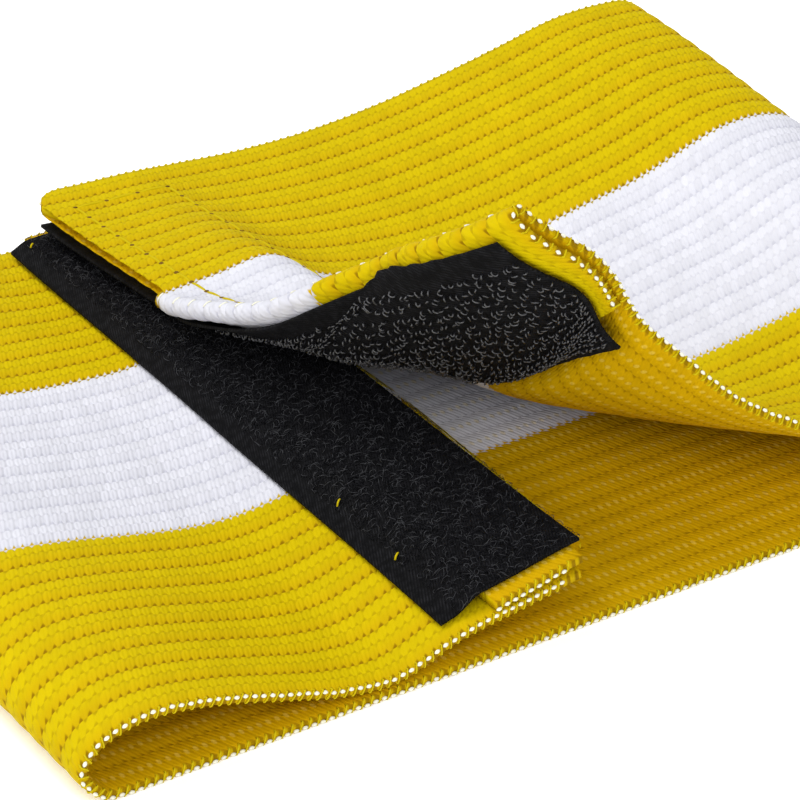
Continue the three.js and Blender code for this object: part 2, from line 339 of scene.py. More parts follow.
def hem_gape(u, v):
    """How far a hem's open near edge stands off the other layer, at length u from the fold."""
    arch = np.sin(np.clip(u / HEM_DEPTH, 0, 1) * math.pi) ** 0.5
    spread = np.exp(-v * BAND_WIDTH / GAPE_ACROSS) * smooth(1 - u / GAPE_ALONG)
    return HEM_GAPE * spread * (1 - GAPE_ARCH + GAPE_ARCH * arch)


def web_grid(path, shares):
    """Middle of the webbing on each row of the path, the face's direction there, and its share v."""
    u, reach, lift, ahead, off, _ = [path[:, k][:, None] for k in range(6)]
    v = shares[None, :] * (1 - corner_cut(u) / BAND_WIDTH)
    from_end = np.where(lift > 0, u, STRIP_LENGTH - u)
    lift = lift + hem_gape(np.clip(from_end, 0, None), v) * lift / HEM_STEP
    middle = beside_web(u, v, reach, lift)
    face = beside_web(u, v, reach + ahead, lift + off) - middle
    return middle, face, v


# The weave: one leaf of weft per pick across each rib, tapering to a tip at both grooves, with a slit
# between two tips. The slits are darkened with painted shade, and so is the near side of each rib.
# Lengths are in picks along the web and in ribs across it.
SHADER_TYPES = {
    "float": "NodeSocketFloat",
    "vector": "NodeSocketVector",
}
WEAVE_ROWS = 2.0
PICK_WANDER = 0.9
WANDER_SCALE = 0.35
LEAF_TAPER = 0.25
LEAF_SINK = (0.1, 0.9)
SPINE_SINK = 0.35
SLIT_IN = 0.22
SLIT_OUT = 0.18
LANE_TEETH = 0.28
LANE_BLUR = 0.05
GROOVE_SHADE = 0.55
SHADE_REACH = (0.02, 0.6)
TICK_REACH = (0.06, 0.38)
RIB_MIDDLE = (0.18, 0.34)
MIDDLE_TICKS = 0.45
FAR_SIDE_SHADE_FADE = 0.4
PICK_TONES = 0.08
PATCH_SCALE = 0.11
PATCH_TONES = 0.16
BASE_TONE = 0.94
STRAND_SLANT = 1.5
STRAND_RELIEF = 0.22
FIBRE_STRETCH = (14.0, 2.2, 1.0)
FIBRE_RELIEF = 0.25
FIBRE_RANGE = (0.2, 0.8)
WEBBING_ROUGHNESS = (0.62, 0.85)
DASH_COLOR = (0.80, 0.62, 0.12)
DASH_SHIFT = 0.25
DASH_LENGTH = 0.26
DASH_WIDTH = 0.13
DASH_EDGE = (1.3, 0.3)
WEAVE_BUMP = 0.00012
WEBBING_SHINE = 0.03


def new_group(name, inputs, outputs):
    """A shader node group with named inputs and outputs, and its own end sockets."""
    tree = bpy.data.node_groups.new(name, "ShaderNodeTree")
    for label, kind, value in inputs:
        made = tree.interface.new_socket(label, in_out="INPUT", socket_type=SHADER_TYPES[kind])
        if value is not None:
            made.default_value = value
    for label, kind in outputs:
        tree.interface.new_socket(label, in_out="OUTPUT", socket_type=SHADER_TYPES[kind])
    return tree, tree.nodes.new("NodeGroupInput").outputs, tree.nodes.new("NodeGroupOutput").inputs


def plug(tree, socket, value):
    """Links a socket to another one, or sets its value."""
    if isinstance(value, bpy.types.NodeSocket):
        tree.links.new(value, socket)
    else:
        socket.default_value = value


def node(tree, kind, settings=None, **inputs):
    """A node with its settings and its named inputs, with underscores for the spaces in their names."""
    made = tree.nodes.new(kind)
    for key, value in (settings or {}).items():
        setattr(made, key, value)
    for key, value in inputs.items():
        plug(tree, made.inputs[key.replace("_", " ")], value)
    return made


def calc(tree, operation, *values):
    """A sum, a product or another step with numbers."""
    made = tree.nodes.new("ShaderNodeMath")
    made.operation = operation
    for socket, value in zip(made.inputs, values):
        plug(tree, socket, value)
    return made.outputs[0]


def ramp(tree, value, low, high, start=0.0, end=1.0):
    """A soft step from start to end as value goes from low to high."""
    made = tree.nodes.new("ShaderNodeMapRange")
    made.interpolation_type = "SMOOTHSTEP"
    for socket, v in zip(made.inputs, (value, low, high, start, end)):
        plug(tree, socket, v)
    return made.outputs[0]


def blend_colors(tree, factor, a, b, way="MIX"):
    """Two colours mixed or multiplied by a factor."""
    made = tree.nodes.new("ShaderNodeMix")
    made.data_type = "RGBA"
    made.blend_type = way
    for label, value in (("Factor_Float", factor), ("A_Color", a), ("B_Color", b)):
        socket = next(s for s in made.inputs if s.identifier == label)
        if isinstance(value, tuple):
            value = (*value, 1)
        plug(tree, socket, value)
    return next(s for s in made.outputs if s.identifier == "Result_Color")


def noise(tree, vector, scale, detail=2.0):
    """A cloudy pattern from 0 to 1."""
    made = node(tree, "ShaderNodeTexNoise", Vector=vector, Scale=scale, Detail=detail)
    return made.outputs["Fac"]


def weave_group():
    """The leaves of weft: their height, the slits between them, and a number for each leaf."""
    tree, given, out = new_group(
        "rib weave",
        [
            ("Place", "vector", None),
            ("Slant", "float", 0.86),
            ("Shift", "float", 1.36),
            ("Tip Cover", "float", 0.5),
            ("Rows", "float", 1.0),
        ],
        [
            ("Height", "float"),
            ("Gap", "float"),
            ("Strand", "float"),
            ("Teeth", "float"),
            ("Far Side", "float"),
        ],
    )
    split = node(tree, "ShaderNodeSeparateXYZ", Vector=given["Place"]).outputs
    wobble = calc(tree, "SUBTRACT", noise(tree, given["Place"], WANDER_SCALE), 0.5)
    picks = calc(tree, "ADD", split["X"], calc(tree, "MULTIPLY", wobble, PICK_WANDER))
    ribs = calc(tree, "MULTIPLY", split["Y"], given["Rows"])
    rib = calc(tree, "FLOOR", ribs)
    place = calc(tree, "SUBTRACT", calc(tree, "FRACT", ribs), 0.5)
    groove = calc(tree, "MULTIPLY", calc(tree, "ABSOLUTE", place), 2.0)
    phase = calc(tree, "ADD", picks, calc(tree, "MULTIPLY", given["Slant"], place))
    phase = calc(tree, "ADD", phase, calc(tree, "MULTIPLY", given["Shift"], rib))
    off_spine = calc(tree, "ABSOLUTE", calc(tree, "SUBTRACT", calc(tree, "FRACT", phase), 0.5))
    off_spine = calc(tree, "MULTIPLY", off_spine, 2.0)
    cover = ramp(tree, groove, LEAF_TAPER, 1.0, 1.0, given["Tip Cover"])
    low = calc(tree, "SUBTRACT", cover, SLIT_IN)
    high = calc(tree, "ADD", cover, SLIT_OUT)
    gap = ramp(tree, off_spine, low, high)
    shape = calc(tree, "DIVIDE", off_spine, cover)
    dome = calc(tree, "MAXIMUM", calc(tree, "SUBTRACT", 1.0, calc(tree, "POWER", shape, 2.0)), 0.0)
    depth = ramp(tree, groove, *LEAF_SINK, SPINE_SINK, 1.0)
    sink = calc(tree, "MULTIPLY", calc(tree, "SUBTRACT", 1.0, dome), depth)
    key = node(tree, "ShaderNodeCombineXYZ", X=calc(tree, "FLOOR", phase), Y=rib).outputs[0]
    strand = node(tree, "ShaderNodeTexWhiteNoise", {"noise_dimensions": "2D"}, Vector=key)
    plug(tree, out["Height"], calc(tree, "SUBTRACT", 1.0, sink))
    plug(tree, out["Gap"], gap)
    plug(tree, out["Strand"], strand.outputs["Value"])
    plug(tree, out["Teeth"], off_spine)
    plug(tree, out["Far Side"], calc(tree, "GREATER_THAN", place, 0.0))
    return tree


WEAVE = weave_group()


def webbing_material(name, yellow, tip_cover, slit_shade_strength, bump, dashes):
    """Yellow, white and yellow lanes. dashes is how strongly the light marks of the inner face show."""
    material = bpy.data.materials.new(name)
    material.use_nodes = True
    tree = material.node_tree
    shader = tree.nodes["Principled BSDF"]
    place = node(tree, "ShaderNodeUVMap", {"uv_map": "weave"}).outputs["UV"]
    weave = node(tree, "ShaderNodeGroup", {"node_tree": WEAVE}, Place=place)
    weave.inputs["Tip Cover"].default_value = tip_cover
    weave.inputs["Rows"].default_value = WEAVE_ROWS
    split = node(tree, "ShaderNodeSeparateXYZ", Vector=place).outputs
    tooth = calc(tree, "MULTIPLY", calc(tree, "SUBTRACT", weave.outputs["Teeth"], 0.5), LANE_TEETH)
    across = calc(tree, "ADD", split["Y"], tooth)
    from_middle = calc(tree, "ABSOLUTE", calc(tree, "SUBTRACT", across, RIBS / 2))
    lane_edge = LANE_RIBS / 2
    white = ramp(tree, from_middle, lane_edge + LANE_BLUR, lane_edge - LANE_BLUR)
    body = blend_colors(tree, white, yellow, WHITE)
    # Painted shade: each rib darkens towards its near side, blended to the shade colours.
    shaded = blend_colors(tree, white, YELLOW_SHADE, WHITE_SHADE)
    painted_rib_shade = ramp(tree, calc(tree, "FRACT", split["Y"]), *SHADE_REACH, GROOVE_SHADE, 0.0)
    body = blend_colors(tree, painted_rib_shade, body, shaded)
    # Painted shade: the slits between leaves take a dark colour, blended in by how strongly each slit
    # shows.
    slit = blend_colors(tree, white, YELLOW_SLIT_SHADE, WHITE_SLIT_SHADE)
    rib_line = calc(tree, "FRACT", calc(tree, "MULTIPLY", split["Y"], WEAVE_ROWS))
    off_line = calc(tree, "ABSOLUTE", calc(tree, "SUBTRACT", rib_line, 0.5))
    near_line = ramp(tree, off_line, *TICK_REACH)
    in_rib = calc(tree, "SUBTRACT", calc(tree, "FRACT", split["Y"]), 0.5)
    groove = ramp(tree, calc(tree, "ABSOLUTE", in_rib), *RIB_MIDDLE, MIDDLE_TICKS, 1.0)
    near_line = calc(tree, "MULTIPLY", near_line, groove)
    # The painted shade in the slits is weaker on each rib's far side, to suit the light's direction.
    faded = calc(tree, "MULTIPLY", weave.outputs["Far Side"], FAR_SIDE_SHADE_FADE)
    side = calc(tree, "SUBTRACT", 1.0, faded)
    depth = calc(tree, "MULTIPLY", calc(tree, "MULTIPLY", weave.outputs["Gap"], near_line), side)
    depth = calc(tree, "MULTIPLY", depth, slit_shade_strength)
    color = blend_colors(tree, depth, body, slit)
    tone = calc(tree, "MULTIPLY", weave.outputs["Strand"], PICK_TONES)
    tone = calc(tree, "ADD", tone, BASE_TONE)
    patches = calc(tree, "SUBTRACT", noise(tree, place, PATCH_SCALE, 3.0), 0.5)
    tone = calc(tree, "ADD", tone, calc(tree, "MULTIPLY", patches, PATCH_TONES))
    gray = node(tree, "ShaderNodeCombineColor", Red=tone, Green=tone, Blue=tone).outputs[0]
    color = blend_colors(tree, 1.0, color, gray, "MULTIPLY")
    slanted = calc(tree, "ADD", split["X"], calc(tree, "MULTIPLY", split["Y"], STRAND_SLANT))
    strands = calc(tree, "SINE", calc(tree, "MULTIPLY", slanted, 4 * math.pi))
    fibre_place = node(tree, "ShaderNodeMapping", Vector=place, Scale=FIBRE_STRETCH).outputs[0]
    fibres = noise(tree, fibre_place, 1.0)
    height = calc(tree, "ADD", weave.outputs["Height"], calc(tree, "MULTIPLY", fibres, FIBRE_RELIEF))
    height = calc(tree, "ADD", height, calc(tree, "MULTIPLY", strands, STRAND_RELIEF))
    if dashes:
        shifted = calc(tree, "FRACT", calc(tree, "ADD", split["X"], DASH_SHIFT))
        mark = calc(tree, "DIVIDE", calc(tree, "SUBTRACT", shifted, 0.5), DASH_LENGTH)
        across_mark = calc(tree, "POWER", calc(tree, "DIVIDE", in_rib, DASH_WIDTH), 2.0)
        mark = calc(tree, "ADD", calc(tree, "POWER", mark, 2.0), across_mark)
        mark = calc(tree, "MULTIPLY", ramp(tree, mark, *DASH_EDGE), dashes)
        color = blend_colors(tree, mark, color, DASH_COLOR)
        height = calc(tree, "ADD", height, mark)
    plug(tree, shader.inputs["Base Color"], color)
    bumped = node(tree, "ShaderNodeBump", Height=height, Distance=WEAVE_BUMP, Strength=bump)
    plug(tree, shader.inputs["Normal"], bumped.outputs["Normal"])
    rough = ramp(tree, fibres, *FIBRE_RANGE, *WEBBING_ROUGHNESS)
    plug(tree, shader.inputs["Roughness"], rough)
    shader.inputs["Specular IOR Level"].default_value = WEBBING_SHINE
    return material


outer_face = webbing_material(
    "webbing outer face",
    YELLOW,
    tip_cover=0.56,
    slit_shade_strength=0.75,
    bump=0.45,
    dashes=0.0,
)
# The inner face is a shaded copy of the outer one. Its more orange yellow is painted shade.
inner_face = webbing_material(
    "webbing inner face",
    INNER_SHADE_YELLOW,
    tip_cover=0.64,
    slit_shade_strength=0.55,
    bump=0.4,
    dashes=0.3,
)

path = web_path()
shares = np.linspace(0, 1, RIBS * RIB_PARTS + 1)
middle, face, v = web_grid(path, shares)
cushion = np.abs(np.sin(v * RIBS * math.pi)) ** RIB_CUSHION
half_web = (WEB_THICKNESS / 2 - RIB_RELIEF * (1 - cushion))[..., None]
lengths = np.repeat(path[:, 5] / PICK, len(shares))
flat_map = np.column_stack([lengths, (v * RIBS).ravel()])
webbing = closed_sheet(
    "striped_webbing",
    middle - face * half_web,
    middle + face * half_web,
    flat_map,
    [outer_face, inner_face, outer_face],
)
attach(webbing, "root")
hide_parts("elastic_band")

# Selvages
# At both edges of the webbing the weft turns round the last warp, a yellow loop at each pick. Between
# the loops the white covered rubber shows as a bead.
BEAD_LENGTH = 0.5
BEAD_RADIUS = 0.17
BEAD_PROFILE = np.array([0.3, 0.85, 1.0, 0.85, 0.3])
BEAD_OUT = 0.06
BEAD_OFF = 0.2
BEAD_SIDES = 6
EDGE_MARGIN = 0.2
EDGE_SCATTER = 0.03
EDGE_THREAD = 0.08
EDGE_REACH = 0.06
EDGE_BENDS = 7
EDGE_SLANT = 0.35
LOOP_TUCK = 0.02
ROOT_DEPTH = 0.6
ROOT_OFF = 0.22
THREAD_SIDES = 5


def tubes(name, paths, radius, sides, materials, seed, picked=None):
    """Strands along many paths (path, point, place), each one closed, joined into one mesh."""
    count, steps = paths.shape[:2]
    radius = np.broadcast_to(radius, (count, steps))
    ahead = np.gradient(paths, axis=1)
    ahead /= np.maximum(np.linalg.norm(ahead, axis=-1, keepdims=True), 1e-9)
    out = np.random.default_rng(seed).normal(size=(count, 3))
    turn = np.arange(sides) / sides * 2 * math.pi
    rings = []
    for k in range(steps):
        out = out - ahead[:, k] * (out * ahead[:, k]).sum(-1, keepdims=True)
        out /= np.maximum(np.linalg.norm(out, axis=-1, keepdims=True), 1e-9)
        beside = np.cross(ahead[:, k], out)
        ring = out[:, None] * np.cos(turn)[:, None] + beside[:, None] * np.sin(turn)[:, None]
        rings.append(paths[:, k, None] + ring * radius[:, k, None, None])
    points = np.stack(rings, 1).reshape(-1, 3)
    index = np.arange(count * steps * sides).reshape(count, steps, sides)
    after = np.roll(index, -1, 2)
    a, b, c, d = index[:, :-1], after[:, :-1], after[:, 1:], index[:, 1:]
    faces = [np.stack([a, b, c], -1), np.stack([a, c, d], -1)]
    for j in range(1, sides - 1):
        faces.append(np.stack([index[:, 0, 0], index[:, 0, j + 1], index[:, 0, j]], -1))
        faces.append(np.stack([index[:, -1, 0], index[:, -1, j], index[:, -1, j + 1]], -1))
    flat = np.vstack([f.reshape(-1, 3) for f in faces])
    slots = None
    if picked is not None:
        slots = picked[flat[:, 0] // (steps * sides)]
    return new_mesh(name, points, flat, materials, slots)


def plain_material(name, color, roughness, shine=0.25):
    """One even colour with its roughness, and how strongly it reflects."""
    material = bpy.data.materials.new(name)
    material.use_nodes = True
    shader = material.node_tree.nodes["Principled BSDF"]
    shader.inputs["Base Color"].default_value = (*color, 1)
    shader.inputs["Roughness"].default_value = roughness
    shader.inputs["Specular IOR Level"].default_value = shine
    return material


yellow_thread = plain_material("yellow thread", (0.50, 0.39, 0.004), roughness=0.75, shine=0.05)
white_core = plain_material("white covered rubber", (0.74, 0.73, 0.60), roughness=0.6, shine=0.1)


def edge_frames(column, inner_column, lengths):
    """Points on one selvage, with the directions out of it, off the inner face and along it."""
    given = [
        middle[:, column],
        middle[:, column] - middle[:, inner_column],
        face[:, column],
        np.gradient(middle[:, column], path[:, 5], axis=0),
    ]
    made = []
    for values in given:
        at = np.stack([np.interp(lengths, path[:, 5], values[:, k]) for k in range(3)], -1)
        made.append(at)
    place = made[0]
    out, off, along = [d / np.linalg.norm(d, axis=-1, keepdims=True) for d in made[1:]]
    return place, out, off, along


def selvage(name, column, inner_column, seed):
    """The beads and the weft loops of one edge. Each loop starts and ends inside the web."""
    spread = np.random.default_rng(seed)
    lengths = np.arange(path[0, 5] + EDGE_MARGIN, path[-1, 5] - EDGE_MARGIN, PICK)
    count = len(lengths)
    place, out, off, along = edge_frames(column, inner_column, lengths)
    jitter = spread.normal(0, EDGE_SCATTER, (3, count, 1))
    centre = place + out * (BEAD_OUT + jitter[0]) - off * (BEAD_OFF + jitter[1])
    run = np.linspace(-0.5, 0.5, len(BEAD_PROFILE))[None, :, None] * BEAD_LENGTH
    bead_paths = centre[:, None] + along[:, None] * run
    bead_radius = BEAD_RADIUS * BEAD_PROFILE
    beads = tubes(name + "_beads", bead_paths, bead_radius, BEAD_SIDES, [white_core], seed)
    place, out, off, along = edge_frames(column, inner_column, lengths + PICK / 2)
    angle = np.linspace(-math.pi / 2, math.pi / 2, EDGE_BENDS)[None, :, None]
    half = WEB_THICKNESS / 2 - LOOP_TUCK
    bow = out[:, None] * np.cos(angle) * EDGE_REACH + off[:, None] * np.sin(angle) * half
    slant = along[:, None] * (angle / math.pi * EDGE_SLANT + jitter[2][:, None])
    bends = place[:, None] + bow + slant
    first = bends[:, :1] - out[:, None] * ROOT_DEPTH + off[:, None] * ROOT_OFF
    last = bends[:, -1:] - out[:, None] * ROOT_DEPTH - off[:, None] * ROOT_OFF
    loops = np.concatenate([first, bends, last], 1)
    threads = tubes(name + "_threads", loops, EDGE_THREAD, THREAD_SIDES, [yellow_thread], seed + 1)
    for piece in (beads, threads):
        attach(piece, "root")
    return [beads, threads]


edges = selvage("near_selvage", 0, 2, 11) + selvage("far_selvage", -1, -3, 21)

# Stitching of the upper end
# The upper hem and the tape beneath it are sewn down in one rectangle of yellow thread. Each stitch
# lies in the web and dives at both ends into a needle hole, drawn as a dark disc of painted shade.
STITCH = 2.7
STITCH_GAP = 0.3
STITCH_RADIUS = 0.14
STITCH_DEPTH = 0.16
STITCH_ARCH = 0.6
STITCH_POINTS = 7
STITCH_SIDES = 6
HOLE_RADIUS = 0.22
HOLE_DEPTH = 0.15
HOLE_SIDES = 8
SEAM_ENDS = (2.8, 13.0)
SEAM_SIDES = (4.5, 75.2)


def upper_face(from_end, from_near, height):
    """Points over the outer face of the upper end, from its fold and from its near edge."""
    return beside_web(STRIP_LENGTH - from_end, from_near / BAND_WIDTH, 0.0, WEB_THICKNESS / 2 + height)


def stitch_line(start, stop):
    """Stitches from start to stop, both (from the fold, from the near edge)."""
    start, stop = np.array(start), np.array(stop)
    length = np.linalg.norm(stop - start)
    count = int(length / STITCH)
    step = (stop - start) / count
    pause = STITCH_GAP / STITCH / 2
    run = np.linspace(pause, 1 - pause, STITCH_POINTS)
    at = start + step * (np.arange(count)[:, None, None] + run[None, :, None])
    arch = np.sin(np.linspace(0, 1, STITCH_POINTS) * math.pi) ** STITCH_ARCH
    height = -STITCH_DEPTH + STITCH_DEPTH * arch
    holes = start + step * np.arange(count + 1)[:, None]
    return upper_face(at[..., 0], at[..., 1], height[None, :]), holes


corners = [
    (SEAM_ENDS[0], SEAM_SIDES[0]),
    (SEAM_ENDS[0], SEAM_SIDES[1]),
    (SEAM_ENDS[1], SEAM_SIDES[1]),
    (SEAM_ENDS[1], SEAM_SIDES[0]),
]
seams = [stitch_line(a, b) for a, b in zip(corners, corners[1:] + corners[:1])]
stitch_paths = np.vstack([s[0] for s in seams])
stitches = tubes("stitches", stitch_paths, STITCH_RADIUS, STITCH_SIDES, [yellow_thread], 31)
holes = np.vstack([s[1] for s in seams])
depth = np.array([-HOLE_DEPTH, 0.0])
hole_paths = upper_face(holes[:, :1], holes[:, 1:], depth[None, :])
# Each needle hole is a dark disc flush with the face: painted shade in the hole.
hole_shade_material = plain_material("needle hole", (0.16, 0.08, 0.002), roughness=0.9)
needle_holes = tubes("needle_holes", hole_paths, HOLE_RADIUS, HOLE_SIDES, [hole_shade_material], 32)
for piece in (stitches, needle_holes):
    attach(piece, "root")

# Loop tape
# Black woven tape sewn on the lower hem. Its brushed face is a tangle of fine loops that lie in all
# directions, and the inner edge is a bare woven border.
TAPE_INSET = 0.4
TAPE_WIDTH = 13.0
TAPE_END = TAPE_INSET + TAPE_WIDTH
TAPE_ROWS = 34
TAPE_COLUMNS = 120
TAPE_BUMP = 0.00008
TAPE_RELIEF = 0.7
THREAD_PITCH = 0.55
THREAD_SLANT = 2.2
WEAR_SCALE = 1.3
WEAR_RANGE = (0.35, 0.7)
NAP_SCALE = 7.0
NAP_RELIEF = 2.0
TAPE_ROUGHNESS = 0.8
TAPE_SHINE = 0.08
TAPE_BLACK = (0.0025, 0.0025, 0.003)
TAPE_THREAD = (0.014, 0.014, 0.016)
RAMP_START = HEM_DEPTH + CLEARANCE
LOOP_RAMP = 3.0
HOOK_RAMP = 6.5
LOOP_MARGIN = 1.5
HOOK_MARGIN = 2.5
LOOP_SKEW = 1.0
TAPE_BASE = 0.28
LOOP_BORDER = 1.7
PILE_STRANDS = 9400
PILE_RADIUS = 0.023
PILE_HEIGHT = 0.3
PILE_LONG = (0.45, 1.25)
PILE_BEND = (0.3, 3.0)
PILE_START = 0.1
PILE_PAST = 0.15
PILE_MIX = 0.75
CURL_POINTS = 4
CURL_LIFT = 0.02
CURL_ARCH = 0.7
CURL_SIDES = 3


def tape_point(lower, from_end, v, height):
    """Points over a tape: on the hem near the end, and down on the single web behind its raw edge."""
    from_end, v, height = np.broadcast_arrays(from_end, v, height)
    skew = LOOP_SKEW if lower else 0.0
    ramp_length = LOOP_RAMP if lower else HOOK_RAMP
    slanted = from_end + skew * (1 - 2 * v) * (from_end - TAPE_INSET) / TAPE_WIDTH
    on_hem = 1 - smooth((slanted - RAMP_START) / ramp_length)
    lift = TAPE_LIFT + (HEM_STEP + hem_gape(slanted, v)) * on_hem + height
    if lower:
        return beside_web(slanted, v, 0.0, lift)
    return beside_web(STRIP_LENGTH - slanted, v, 0.0, -lift)


def tape_base(name, lower, margin, material):
    """The woven ground of a tape, which stops short of the web's edges by the margin."""
    from_end = np.linspace(TAPE_INSET, TAPE_END, TAPE_ROWS)
    share = np.linspace(margin / BAND_WIDTH, 1 - margin / BAND_WIDTH, TAPE_COLUMNS)
    from_end, share = np.meshgrid(from_end, share, indexing="ij")
    uv = np.column_stack([from_end.ravel(), (share * BAND_WIDTH).ravel()])
    top = tape_point(lower, from_end, share, TAPE_BASE)
    under = tape_point(lower, from_end, share, 0.0)
    return closed_sheet(name, top, under, uv, [material])


def tape_material(name, color, thread_color):
    """Woven black nylon with fine slanted threads."""
    material = bpy.data.materials.new(name)
    material.use_nodes = True
    tree = material.node_tree
    shader = tree.nodes["Principled BSDF"]
    place = node(tree, "ShaderNodeUVMap", {"uv_map": "weave"}).outputs["UV"]
    split = node(tree, "ShaderNodeSeparateXYZ", Vector=place).outputs
    slanted = calc(tree, "ADD", calc(tree, "MULTIPLY", split["X"], THREAD_SLANT), split["Y"])
    thread = calc(tree, "SINE", calc(tree, "MULTIPLY", slanted, 2 * math.pi / THREAD_PITCH))
    thread = calc(tree, "ADD", calc(tree, "MULTIPLY", thread, 0.5), 0.5)
    patches = noise(tree, place, WEAR_SCALE, 3.0)
    shown = calc(tree, "MULTIPLY", thread, ramp(tree, patches, *WEAR_RANGE))
    plug(tree, shader.inputs["Base Color"], blend_colors(tree, shown, color, thread_color))
    nap = calc(tree, "MULTIPLY", noise(tree, place, NAP_SCALE, 4.0), NAP_RELIEF)
    height = calc(tree, "ADD", thread, nap)
    bumped = node(tree, "ShaderNodeBump", Height=height, Distance=TAPE_BUMP, Strength=TAPE_RELIEF)
    plug(tree, shader.inputs["Normal"], bumped.outputs["Normal"])
    shader.inputs["Roughness"].default_value = TAPE_ROUGHNESS
    shader.inputs["Specular IOR Level"].default_value = TAPE_SHINE
    return material


def curls(count, seed, low, high, long_range, bend_range, top):
    """Short curved strands: lengths from the end and from the near edge, and heights over the cloth."""
    spread = np.random.default_rng(seed)
    start = low + (high - low) * spread.random((count, 2))
    heading = spread.random((count, 1)) * 2 * math.pi
    long = spread.uniform(*long_range, (count, 1))
    bend = spread.uniform(*bend_range, (count, 1)) * spread.choice([-1, 1], (count, 1))
    run = np.linspace(0, 1, CURL_POINTS)[None, :]
    turned = heading + bend * run
    step = long / (CURL_POINTS - 1)
    along = np.cumsum(np.cos(turned) * step, axis=1)
    across = np.cumsum(np.sin(turned) * step, axis=1)
    height = spread.uniform(0.1, 1.0, (count, 1)) * top * np.sin(run * math.pi) ** CURL_ARCH
    height = CURL_LIFT + height
    return start[:, :1] + along, start[:, 1:] + across, height


tape_black = tape_material("black woven tape", TAPE_BLACK, TAPE_THREAD)
loop_tape = tape_base("black_loop_tape", True, LOOP_MARGIN, tape_black)
along, across, height = curls(
    PILE_STRANDS,
    41,
    np.array([TAPE_INSET + PILE_START, LOOP_MARGIN]),
    np.array([TAPE_END - LOOP_BORDER, BAND_WIDTH - LOOP_MARGIN]),
    PILE_LONG,
    PILE_BEND,
    PILE_HEIGHT,
)
across = np.clip(across, LOOP_MARGIN - PILE_PAST, BAND_WIDTH - LOOP_MARGIN + PILE_PAST)
along = np.clip(along, TAPE_INSET - PILE_PAST, TAPE_END - LOOP_BORDER + 2 * PILE_PAST)
pile_paths = tape_point(True, along, across / BAND_WIDTH, TAPE_BASE + height)
pile_dark = plain_material("loop pile", (0.005, 0.005, 0.007), roughness=0.5, shine=0.15)
pile_light = plain_material(
    "loop pile catching light",
    (0.044, 0.045, 0.05),
    roughness=0.5,
    shine=0.3,
)
lit = (np.random.default_rng(42).random(PILE_STRANDS) > PILE_MIX).astype(int)
pile = tubes("loop_pile", pile_paths, PILE_RADIUS, CURL_SIDES, [pile_dark, pile_light], 43, lit)
for piece in (loop_tape, pile):
    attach(piece, "root")
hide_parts("loop_tape")

# Hook tape
# Black woven tape sewn on the underside of the upper hem. Stiff nylon hooks stand on it in rows, bent
# over in all directions by use, and the edge at the fold is a bare woven border.
HOOK_PITCH = 0.66
HOOK_SCATTER = 0.09
HOOK_TWIST = 1.6
HOOK_BORDER = 1.6
HOOK_EDGES = (0.5, 0.4)
HOOK_ROOT = -0.1
HOOK_RISE = 0.38
HOOK_CROOK = 0.15
HOOK_BOW = 1.15 * math.pi
HOOK_POINTS = 7
HOOK_RADIUS = 0.075
hook_base = tape_base("black_hook_tape", False, HOOK_MARGIN, tape_black)
lattice_along = np.arange(TAPE_INSET + HOOK_BORDER, TAPE_END - CLEARANCE, HOOK_PITCH)
first_across = HOOK_MARGIN + HOOK_EDGES[0]
last_across = BAND_WIDTH - HOOK_MARGIN - HOOK_EDGES[1]
lattice_across = np.arange(first_across, last_across, HOOK_PITCH)
at_along, at_across = [g.ravel() for g in np.meshgrid(lattice_along, lattice_across, indexing="ij")]
hook_count = at_along.size
spread = np.random.default_rng(51)
at_along = at_along + spread.normal(0, HOOK_SCATTER, hook_count)
at_across = at_across + spread.normal(0, HOOK_SCATTER, hook_count)
heading = spread.random((hook_count, 1)) * 2 * math.pi
twist = spread.uniform(-HOOK_TWIST, HOOK_TWIST, (hook_count, 1))
heading = heading + twist * np.linspace(0, 1, HOOK_POINTS)
crook = np.linspace(0, HOOK_BOW, HOOK_POINTS - 1)
reach = np.concatenate([[0.0], HOOK_CROOK * (1 - np.cos(crook))])
rise = np.concatenate([[HOOK_ROOT], HOOK_RISE - HOOK_CROOK + HOOK_CROOK * np.sin(crook)])
rise = rise * spread.uniform(0.8, 1.15, (hook_count, 1))
hook_paths = tape_point(
    False,
    at_along[:, None] + np.cos(heading) * reach,
    (at_across[:, None] + np.sin(heading) * reach) / BAND_WIDTH,
    TAPE_BASE + rise,
)
hook_nylon = plain_material("hook nylon", (0.014, 0.014, 0.017), roughness=0.3, shine=0.9)
hooks = tubes("tape_hooks", hook_paths, HOOK_RADIUS, THREAD_SIDES, [hook_nylon], 52)
for piece in (hook_base, hooks):
    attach(piece, "root")
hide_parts("hook_tape")

# Fuzz
# The lower end's fold is rubbed each time the closure opens. Yellow filaments of the weft stand off
# it beside the loop tape, still held in the web at their roots.
FUZZ_STRANDS = 900
FUZZ_RADIUS = 0.04
FUZZ_FROM = (-0.2, 1.5)
FUZZ_TO = (0.5, BAND_WIDTH - 1.0)
FUZZ_LONG = (0.4, 1.1)
FUZZ_BEND = (0.3, 2.4)
FUZZ_HEIGHT = 0.3
FUZZ_ROOT = 0.05
FUZZ_EDGE = 0.002
FUZZ_SPREAD = 1.5

